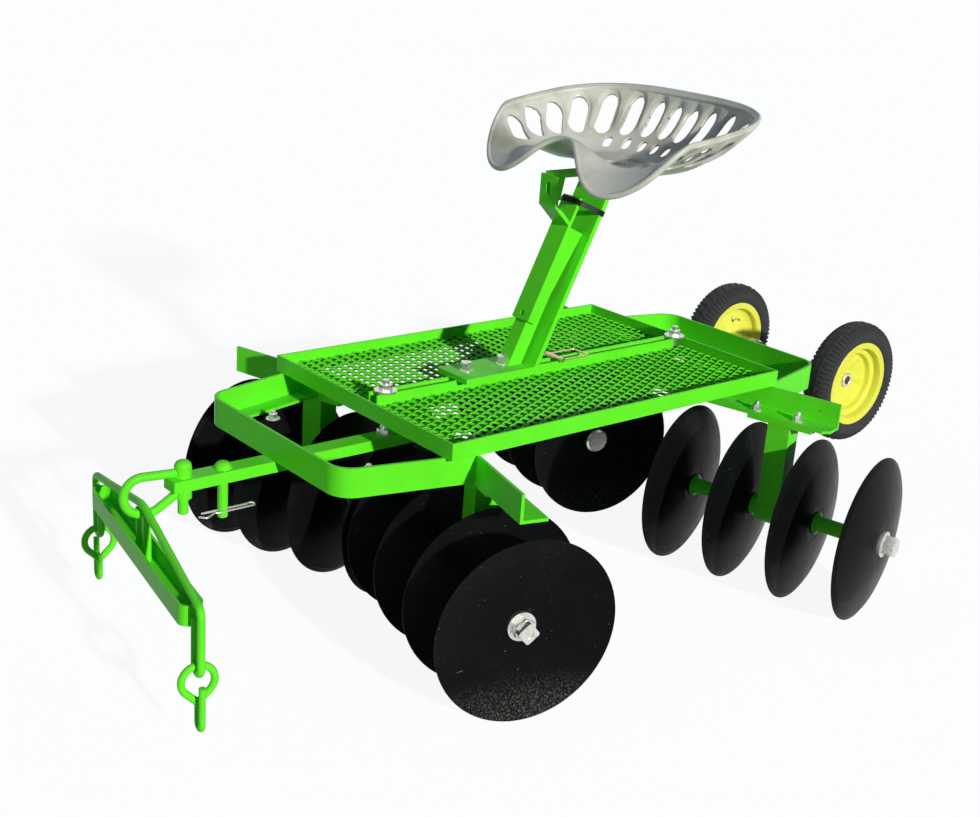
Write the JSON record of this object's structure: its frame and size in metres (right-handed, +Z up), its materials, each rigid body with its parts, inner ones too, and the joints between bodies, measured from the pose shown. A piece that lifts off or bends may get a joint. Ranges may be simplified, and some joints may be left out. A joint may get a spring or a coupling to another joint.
{
  "type": "disc harrow",
  "caption": "Ride-on tandem disc harrow with angled disc gangs, a mesh deck, a cast seat on a leaning post, a singletree hitch and folding road wheels.",
  "frame": {"origin": "bottom centre of the bounding box, on the ground under the middle of the machine", "axes": "+Z up, +Y towards the rear (the singletree is at -Y), +X towards the machine's left"},
  "size_m": [1.4404, 2.2658, 1.1753],
  "materials": {
    "green_paint": "semi-gloss lime green paint",
    "black_discs": "glossy black paint with dust",
    "yellow_paint": "gloss yellow paint",
    "tyre_rubber": "matt black rubber",
    "zinc_steel": "zinc plated",
    "yellow_zinc": "yellow zinc plated",
    "cast_aluminium": "satin cast aluminium"
  },
  "bodies": {
    "frame": {"front_frame_bar": "green_paint", "rear_frame_bar": "green_paint", "front_left_beam": "green_paint", "front_right_beam": "green_paint", "rear_left_beam": "green_paint", "rear_right_beam": "green_paint", "drawbar": "green_paint", "hitch_pin": "green_paint", "drawbar_pin": "green_paint", "pin_clip": "zinc_steel", "deck_rim": "green_paint", "deck_rails": "green_paint", "deck_mesh": "green_paint", "deck_bolts": "zinc_steel", "lock_pin": "yellow_zinc", "seat_bar": "green_paint", "seat_channel": "green_paint", "seat_fork": "green_paint", "seat_bracket": "green_paint", "seat_pan": "cast_aluminium", "carrier_lugs": "green_paint", "front_left_standard": "green_paint", "front_right_standard": "green_paint", "rear_left_standard": "green_paint", "rear_right_standard": "green_paint"},
    "front_left_gang": {"front_left_axle": "zinc_steel", "front_left_discs": "black_discs", "front_left_spools": "green_paint"},
    "front_right_gang": {"front_right_axle": "zinc_steel", "front_right_discs": "black_discs", "front_right_spools": "green_paint"},
    "rear_left_gang": {"rear_left_axle": "green_paint", "rear_left_discs": "black_discs", "rear_left_spools": "green_paint"},
    "rear_right_gang": {"rear_right_axle": "green_paint", "rear_right_discs": "black_discs", "rear_right_spools": "green_paint"},
    "wheel_carrier": {"carrier_arms": "green_paint", "stub_axles": "zinc_steel"},
    "left_wheel": {"left_rim": "yellow_paint", "left_tyre": "tyre_rubber"},
    "right_wheel": {"right_rim": "yellow_paint", "right_tyre": "tyre_rubber"},
    "shackle": {"shackle": "green_paint"},
    "singletree": {"singletree_bar": "green_paint", "singletree_rod": "green_paint"},
    "left_hook": {"trace_hook_left": "green_paint"},
    "right_hook": {"trace_hook_right": "green_paint"}
  },
  "joints": [
    {"name": "front_left_gang_spin", "type": "hinge", "parent": "frame", "child": "front_left_gang", "pos_m": [0.31006, -0.41639, 0.2032], "axis": [0.9659, -0.2588, 0], "continuous": true},
    {"name": "front_right_gang_spin", "type": "hinge", "parent": "frame", "child": "front_right_gang", "pos_m": [-0.31006, -0.41639, 0.2032], "axis": [0.9659, 0.2588, 0], "continuous": true},
    {"name": "rear_left_gang_spin", "type": "hinge", "parent": "frame", "child": "rear_left_gang", "pos_m": [0.39879, 0.46691, 0.2032], "axis": [0.9703, 0.2419, 0], "continuous": true},
    {"name": "rear_right_gang_spin", "type": "hinge", "parent": "frame", "child": "rear_right_gang", "pos_m": [-0.39879, 0.46691, 0.2032], "axis": [0.9703, -0.2419, 0], "continuous": true},
    {"name": "wheel_carrier_fold", "type": "hinge", "parent": "frame", "child": "wheel_carrier", "pos_m": [0, 0.72101, 0.388], "axis": [-1, 0, 0], "range_deg": [0, 90]},
    {"name": "left_wheel_spin", "type": "hinge", "parent": "wheel_carrier", "child": "left_wheel", "pos_m": [0.222, 0.9655, 0.4094], "axis": [1, 0, 0], "continuous": true},
    {"name": "right_wheel_spin", "type": "hinge", "parent": "wheel_carrier", "child": "right_wheel", "pos_m": [-0.222, 0.9655, 0.4094], "axis": [1, 0, 0], "continuous": true},
    {"name": "shackle_swivel", "type": "hinge", "parent": "frame", "child": "shackle", "pos_m": [0, -0.953, 0.4115], "axis": [0, 0, 1], "range_deg": [-35, 55]},
    {"name": "singletree_swing", "type": "hinge", "parent": "shackle", "child": "singletree", "pos_m": [-0.01441, -1.03473, 0.4115], "axis": [-0.9848, 0.1736, 0], "range_deg": [-25, 90]},
    {"name": "left_hook_swing", "type": "hinge", "parent": "singletree", "child": "left_hook", "pos_m": [0.3155, -1.09291, 0.1853], "axis": [-0.9848, 0.1736, 0], "range_deg": [-95, 95]},
    {"name": "right_hook_swing", "type": "hinge", "parent": "singletree", "child": "right_hook", "pos_m": [-0.34432, -0.97656, 0.1853], "axis": [-0.9848, 0.1736, 0], "range_deg": [-95, 95]}
  ]
}
